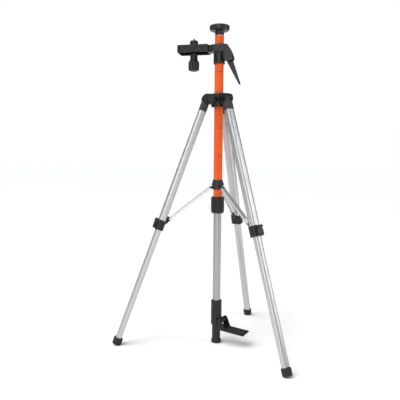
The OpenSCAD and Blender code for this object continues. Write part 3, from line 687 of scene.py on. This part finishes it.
def build_twist_lock():
    low, high = local_box("twist_lock_sleeve")
    collet = local_box("lock_collet")[1]
    inner = local_box("inner_tube")[1].x
    outer = local_box("outer_tube")[1].x
    r = high.x
    room = collet.x + 0.4
    outside = fillet([
        (r - 5.5, low.z, 0.6), (r - 3.6, low.z + 0.2, 1), (r - 1.8, low.z + 2.4, 1.2),
        (r - 0.8, low.z + 6, 2), (r, low.z + 9.5, 1.5), (r, high.z - 5, 0.8),
        (r - 0.9, high.z - 4.4, 0.4), (r - 0.9, high.z - 3.6, 0.4), (r, high.z - 3, 0.5),
        (r, high.z - 0.8, 0.7), (r - 1.5, high.z, 0.6)], 3)
    inside = [(outer + 0.4, high.z), (outer + 0.4, collet.z + 1.5), (room, collet.z + 1.5),
              (room, low.z + 3.4), (inner + 0.5, low.z + 3.4), (inner + 0.5, low.z)]
    grip = flutes(16, 1.35, low.z + 8.5, high.z - 6.5, 4.5, r - 2.5, 3)
    stand_in("twist_lock_sleeve", turned(divided(outside, 1.8) + inside, True, 192, grip))


def build_inner_tube():
    low, high = local_box("inner_tube")
    lines = flutes(28, 0.16, low.z - 20, high.z + 20, 1, high.x - 0.2, 1)
    corners = [(high.x, low.z, TUBE_LIP), (high.x, high.z, TUBE_LIP),
               (high.x - POLE_WALL, high.z, TUBE_LIP), (high.x - POLE_WALL, low.z, TUBE_LIP)]
    stand_in("inner_tube", turned(fillet(corners), True, 224, lines))


# ---- foot of the pole ----

def helix(radius, wire, turns, z0, z1):
    """A coil of round wire whose first and last turns lie flat."""
    per_turn = 28
    sides = 10
    steps = turns * per_turn
    flat = per_turn
    rings = []
    for k in range(steps + 1):
        climb = min(1.0, max(0.0, (k - flat) / (steps - 2 * flat)))
        lift = wire * 2 * (min(k, flat) + max(0, k - steps + flat)) / flat
        z = z0 + wire + lift + (z1 - z0 - 6 * wire) * climb
        angle = math.tau * k / per_turn
        ring = []
        for j in range(sides):
            turn = math.tau * j / sides
            r = radius + wire * math.cos(turn)
            ring.append((r * math.cos(angle), r * math.sin(angle), z + wire * math.sin(turn)))
        rings.append(ring)
    return lofted(rings)


def build_foot():
    low, high = local_box("plunger_tube")
    floor = PLUNGER_FLOOR
    wall_r = high.x
    stand_in("plunger_tube", turned(fillet([
        (1, low.z), (wall_r - 1, low.z), (wall_r, low.z + 1), (wall_r, high.z, 0.8),
        (PLUNGER_BORE_R, high.z, 0.8), (PLUNGER_BORE_R, floor, 1), (1, floor)])))
    low, high = local_box("base_foot")
    r = high.x
    stand_in("base_foot", turned(fillet([
        (1, 0.9), (6, 0.9, 0.2), (6, 0, 0.2), (8, 0, 0.2), (8, 0.9, 0.2), (11, 0.9, 0.2), (11, 0, 0.2),
        (r - 4, 0, 0.8), (r - 1.6, 1.4, 1), (r - 0.3, 4, 0.8), (r, 6, 0.4), (r - 0.9, 6.6, 0.3),
        (r - 0.9, 7.4, 0.3), (r, 8, 0.4), (r - 0.3, 10.5, 0.8), (r - 1.4, 13, 1),
        (r - 2.4, high.z, 0.5), (wall_r + 0.1, high.z), (1, high.z)])))
    top = local_box("foot_spring")[1].z
    spring = stand_in("foot_spring", helix(SPRING_R, SPRING_WIRE_R, SPRING_TURNS, floor, top))
    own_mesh(spring)
    stand_in("foot_sleeve", moulded("foot_sleeve", PEDAL, voxel=max(VOXEL, 0.75)), PEDAL)
    stand_in("pedal_pin", machined("pedal_pin", PEDAL, 0.4), PEDAL)


def build_pedal():
    stand_in("foot_pedal", moulded("foot_pedal", PEDAL), PEDAL)
    stand_in("pedal_tread", machined("pedal_tread", PEDAL, 0.35), PEDAL)


# ---- hub, collar and braces ----

def pivot_bolt(half, pin_r):
    """Socket head on +Z, threaded end and nut on -Z."""
    head = fillet([(1, half - 2), (7.5, half - 2), (7.5, half + 1.7, 1.2), (6, half + 2.6, 0.6),
                   (3, half + 2.6), (2.7, half + 2.3), (2.7, half + 0.9), (1, half + 0.9)])

    def socket(radius, z, angle):
        return hexagon(radius, angle) if 1 < radius < 3.2 and z > half + 0.5 else radius

    shank = [(pin_r, -half - 3), (pin_r, half)]
    nut = [(pin_r, -half - 3.2), (5.6, -half - 3.2), (6.2, -half - 2.6), (6.2, -half), (pin_r, -half)]

    def flats(radius, z, angle):
        return min(radius, hexagon(6.2, angle)) if radius > pin_r else radius

    return merged(turned(head, carve=socket), turned(shank, sides=48), turned(nut, carve=flats))


def build_hub():
    stand_in("hub_casting", moulded("hub_casting", POLE, passes=8))
    bolt = pivot_bolt(HUB_ARM_HALF, HINGE_PIN_R)
    bolts = [moved(bolt, in_mm(LEGS[i]) @ Matrix.Rotation(-math.pi / 2, 4, "X")) for i in LEG_NUMBERS]
    stand_in("hub_pivot_bolts", merged(*bolts))
    knob = frame_from(joint_origin("hub_knob_turn"), (0, 0, 1), joint_axis("hub_knob_turn"))
    low, high = local_box("hub_lock_knob", knob)
    r = high.x
    outline = fillet([(1, low.z), (r - 4.5, low.z, 1), (r - 3.5, low.z + 2.5, 1.5), (r, low.z + 4, 1.4),
                      (r, high.z - 2.2, 1.6), (r - 2.4, high.z, 1.4), (r - 5, high.z, 0.4),
                      (r - 5.8, high.z - 0.7, 0.4), (1, high.z - 0.7)])
    grip = flutes(7, 2.2, low.z + 2.5, high.z + 9, 2, r - 3, 2)
    stand_in("hub_lock_knob", turned(divided(outline, 1.2), carve=grip, sides=112), knob)
    low, high = local_box("hub_lock_screw", knob)
    outline = divided([(2.5, low.z), (high.x, low.z + 1.2), (high.x, high.z)], 0.2)
    turns = thread(HUB_SCREW_PITCH, 0.6, low.z, high.z - 10)
    stand_in("hub_lock_screw", turned(outline, sides=48, carve=turns), knob)


def in_mm(matrix):
    """The same frame with its origin in millimetres."""
    out = matrix.copy()
    out.translation = matrix.translation / MM
    return out


def build_collar():
    stand_in("spreader_collar", moulded("spreader_collar", POLE, voxel=max(0.5, VOXEL - 0.1)))
    stand_in("collar_pins", machined("collar_pins", POLE, 0.4))


def build_braces():
    for i in LEG_NUMBERS:
        local = brace_frame(i)
        stand_in(f"brace_{i}", machined(f"brace_{i}", local, 0.45), local)
        stand_in(f"brace_{i}_rivets", machined(f"brace_{i}_rivets", local, 0.4), local)


# ---- legs ----

def leg_tube(node, local):
    low, high = local_box(node, local)
    size = high - low

    def ring(inset, z):
        outline = rounded_rectangle(size.x - 2 * inset, size.y - 2 * inset, LEG_CORNER - inset)
        return [(x, y, z) for x, y in outline]

    lip = TUBE_LIP
    return lofted([
        ring(lip, low.z), ring(0, low.z + lip), ring(0, high.z - lip), ring(lip, high.z),
        ring(LEG_WALL - lip, high.z), ring(LEG_WALL, high.z - lip), ring(LEG_WALL, low.z + lip),
        ring(LEG_WALL - lip, low.z)], closed=True)


def foot_cup(node, local):
    low, high = local_box(node, local)
    r = high.x
    z = low.z
    return turned(fillet([
        (1, z + 1), (5, z + 1, 0.3), (5, z, 0.3), (r - 6, z, 2), (r - 1.6, z + 1.8, 2.4), (r, z + 6, 2),
        (r, z + 11, 0.5), (r - 0.8, z + 11.6, 0.3), (r - 0.8, z + 12.4, 0.3), (r, z + 13, 0.5),
        (r - 0.1, z + 16, 0.5), (r - 0.9, z + 16.6, 0.3), (r - 0.9, z + 17.4, 0.3), (r - 0.1, z + 18, 0.5),
        (r - 0.6, high.z - 1.6, 1), (r - 1.8, high.z, 0.6), (1, high.z)]))


def clamp_details(local):
    """Two grooves round the clamp's body."""
    low, high = local_box("leg_1_clamp", local)
    width = high.y - low.y
    length = CLAMP_FRONT - CLAMP_BACK
    shift = (CLAMP_FRONT + CLAMP_BACK) / 2
    grooves = []
    for rise in CLAMP_GROOVES:
        z = low.z + rise
        wide = rounded_rectangle(length + 6, width + 6, 14)
        slim = rounded_rectangle(length - 1.2, width - 1.2, 11.4)
        rings = [[(x + shift, y, h) for x, y in outline]
                 for outline, h in ((wide, z), (wide, z + 1.1), (slim, z + 1.1), (slim, z))]
        grooves.append(lofted(rings, closed=True))
    return grooves


def lever_ribs(local):
    """Finger ribs across the lever's outer face."""
    low, high = local_box("leg_1_lever", local)
    rib = turned(fillet([(0.2, -10), (1.1, -10, 0.5), (1.1, 10, 0.5), (0.2, 10)]), sides=16)
    ribs = []
    for k in range(LEVER_RIBS):
        at = (high.x - 1.15 - 0.32 * (LEVER_RIBS - 1 - k), 0, low.z + 4.5 + 3.4 * k)
        ribs.append(moved(rib, Matrix.Translation(at) @ Matrix.Rotation(math.pi / 2, 4, "X")))
    return ribs


def build_legs():
    first = LEGS[1]
    forms = {
        "knuckle": moulded("leg_1_knuckle", first),
        "clamp": moulded("leg_1_clamp", first, cut=clamp_details(first)),
        "lever": moulded("leg_1_lever", first, added=lever_ribs(first), voxel=min(VOXEL, 0.5), passes=4),
        "lever_pin": machined("leg_1_lever_pin", first, 0.35),
        "foot": mesh_of("foot", foot_cup("leg_1_foot", first)),
        "upper_tube": mesh_of("upper_tube", leg_tube("leg_1_upper_tube", first)),
        "lower_tube": mesh_of("lower_tube", leg_tube("leg_1_lower_tube", first)),
    }
    for i in LEG_NUMBERS:
        for part, mesh in forms.items():
            copy = mesh.copy()
            place = LEGS[i]
            if part == "foot":
                copy.transform(place)
                place = POLE
            stand_in(f"leg_{i}_{part}", copy, place)


# ---- bracket ----

def deck_recess():
    """The shallow panel in the platform's top face."""
    low, high = local_box("bracket_platform", BRACKET)
    length = high.x - PLATFORM_START - 2 * RECESS_MARGIN
    outline = rounded_rectangle(length, high.y - low.y - 2 * RECESS_MARGIN, 5)
    middle = high.x - RECESS_MARGIN - length / 2
    return prism([(middle + x, y) for x, y in outline], high.z - RECESS_DEPTH, high.z + 4)


def build_bracket():
    stand_in("bracket_platform", moulded("bracket_platform", BRACKET, cut=[deck_recess()]), BRACKET)
    stand_in("bracket_lever", moulded("bracket_lever", BRACKET, voxel=min(VOXEL, 0.5)), BRACKET)
    stand_in("lever_axle", machined("lever_axle", BRACKET, 0.5), BRACKET)


def build_mounting_screw():
    at = joint_origin("mount_screw_turn")
    axis = BRACKET.copy()
    axis.translation = (at.x, at.y, 0)
    low, high = local_box("mount_knob", axis)
    r = high.x
    neck = KNOB_NECK_R
    z = low.z
    outline = fillet([
        (1, z + 1.2), (6, z + 1.2, 0.4), (6.8, z, 0.5), (r - 7, z + 0.4, 1), (r - 2, z + 2.6, 1.5),
        (r, z + 6, 2),
        (r, z + 31, 2), (r - 1.5, z + 34, 1.5), (neck + 0.6, z + 39, 2), (neck, z + 41.5, 1),
        (neck, high.z - 1, 0.5), (neck - 1, high.z, 0.4), (3.4, high.z)], 4)
    grip = flutes(8, 3.1, z - 3, z + 37.5, 6, neck + 1.5, 3)
    stand_in("mount_knob", turned(divided(outline, 1.6), carve=grip, sides=128), axis)
    low, high = local_box("mount_stud", axis)
    start = local_box("mount_seat")[1].z
    outline = divided([(SHANK_R, low.z), (SHANK_R, start), (STUD_R, start), (STUD_R, high.z - 0.8),
                       (2.4, high.z)], 0.15)
    turns = thread(STUD_PITCH, 0.65, start, high.z + 1)
    stand_in("mount_stud", turned(outline, sides=48, carve=turns), axis)
    low, high = local_box("mount_seat", axis)
    r = high.x
    base = low.z - RECESS_DEPTH
    outline = fillet([(3.6, base), (r, base), (r, high.z - 5, 1.5), (r - 1.2, high.z - 2, 1.2),
                      (r - 4, high.z, 1.2), (r - 5, high.z, 0.3), (r - 5.4, high.z - 0.6, 0.2),
                      (r - 6, high.z - 0.6, 0.2), (r - 6.4, high.z, 0.3), (3.6, high.z)])
    stand_in("mount_seat", turned(outline, closed=True), axis)


# ---- studio ----

def build_floor():
    half = 40.0
    mesh = bpy.data.meshes.new("floor")
    corners = [(-half, -half, 0), (half, -half, 0), (half, half, 0), (-half, half, 0)]
    mesh.from_pydata(corners, [], [(0, 1, 2, 3)])
    floor = bpy.data.objects.new("floor", mesh)
    bpy.context.scene.collection.objects.link(floor)
    paint = Look("floor_paint")
    tone = paint.mix(paint.noise(3, 2), grey(0.97), grey(0.98))
    mesh.materials.append(paint.finish(tone, 0.9))


def build_world():
    """A grey room that is darker behind the object, for light and reflections, seen as a white backdrop."""
    world = bpy.data.worlds.new("studio")
    bpy.context.scene.world = world
    world.use_nodes = True
    tree = world.node_tree
    tree.nodes.clear()
    room = tree.nodes.new("ShaderNodeBackground")
    room.inputs["Color"].default_value = (0.96, 0.98, 1.0, 1.0)
    direction = tree.nodes.new("ShaderNodeTexCoord")
    facing_camera = tree.nodes.new("ShaderNodeVectorMath")
    facing_camera.operation = "DOT_PRODUCT"
    facing_camera.inputs[1].default_value = around(CAMERA_AZIMUTH - 12, 1.0, 0.25)
    strength = tree.nodes.new("ShaderNodeMapRange")
    for socket, value in zip(strength.inputs[1:5], (-0.55, 0.7, ROOM_DARK, ROOM_BRIGHT)):
        socket.default_value = value
    tree.links.new(direction.outputs["Generated"], facing_camera.inputs[0])
    tree.links.new(facing_camera.outputs["Value"], strength.inputs[0])
    tree.links.new(strength.outputs[0], room.inputs["Strength"])
    backdrop = tree.nodes.new("ShaderNodeBackground")
    backdrop.inputs["Color"].default_value = (1.0, 1.0, 1.0, 1.0)
    backdrop.inputs["Strength"].default_value = 1.0
    seen = tree.nodes.new("ShaderNodeLightPath")
    choose = tree.nodes.new("ShaderNodeMixShader")
    output = tree.nodes.new("ShaderNodeOutputWorld")
    tree.links.new(seen.outputs["Is Camera Ray"], choose.inputs[0])
    tree.links.new(room.outputs[0], choose.inputs[1])
    tree.links.new(backdrop.outputs[0], choose.inputs[2])
    tree.links.new(choose.outputs[0], output.inputs["Surface"])


def place_light(name, kind, position, target, energy, **settings):
    light = bpy.data.lights.new(name, kind)
    light.energy = energy
    for key, value in settings.items():
        setattr(light, key, value)
    lamp = bpy.data.objects.new(name, light)
    bpy.context.scene.collection.objects.link(lamp)
    aim = Vector(target) - Vector(position)
    lamp.matrix_world = Matrix.Translation(position) @ aim.to_track_quat("-Z", "Y").to_matrix().to_4x4()


def around(azimuth, radius, height):
    turn = math.radians(azimuth)
    return (radius * math.cos(turn), radius * math.sin(turn), height)


def build_lights():
    middle = (0, 0, 0.6)
    place_light("overhead", "SUN", around(CAMERA_AZIMUTH - 60, 2.0, 3.6), middle, 2.45,
                angle=math.radians(50))
    place_light("front_box", "AREA", around(CAMERA_AZIMUTH - 10, 2.6, 1.3), middle, 13,
                shape="RECTANGLE", size=0.35, size_y=1.9)
    place_light("right_strip", "AREA", around(CAMERA_AZIMUTH + 78, 2.2, 1.3), middle, 9,
                shape="RECTANGLE", size=0.4, size_y=1.8)


def build_camera():
    heading = math.radians(CAMERA_HEADING)
    pitch = math.radians(CAMERA_PITCH)
    roll = math.radians(CAMERA_ROLL)
    forward = Vector((math.cos(heading) * math.cos(pitch), math.sin(heading) * math.cos(pitch),
                      -math.sin(pitch)))
    level = Vector((math.sin(heading), -math.cos(heading), 0))
    upright = level.cross(forward)
    right = math.cos(roll) * level + math.sin(roll) * upright
    up = math.cos(roll) * upright - math.sin(roll) * level
    camera = bpy.data.objects.new("camera", bpy.data.cameras.new("camera"))
    bpy.context.scene.collection.objects.link(camera)
    camera.data.lens = CAMERA_LENS
    matrix = Matrix((right, up, -forward)).transposed().to_4x4()
    matrix.translation = around(CAMERA_AZIMUTH, CAMERA_DISTANCE, CAMERA_HEIGHT)
    camera.matrix_world = matrix
    bpy.context.scene.camera = camera


# ---- everything ----

build_camera()
dress_cad_nodes()
build_outer_tube()
build_scale()
build_pole_top()
build_twist_lock()
build_inner_tube()
build_foot()
build_pedal()
build_hub()
build_collar()
build_braces()
build_legs()
build_bracket()
build_mounting_screw()
build_floor()
build_world()
build_lights()
bpy.context.scene.view_settings.view_transform = "Standard"
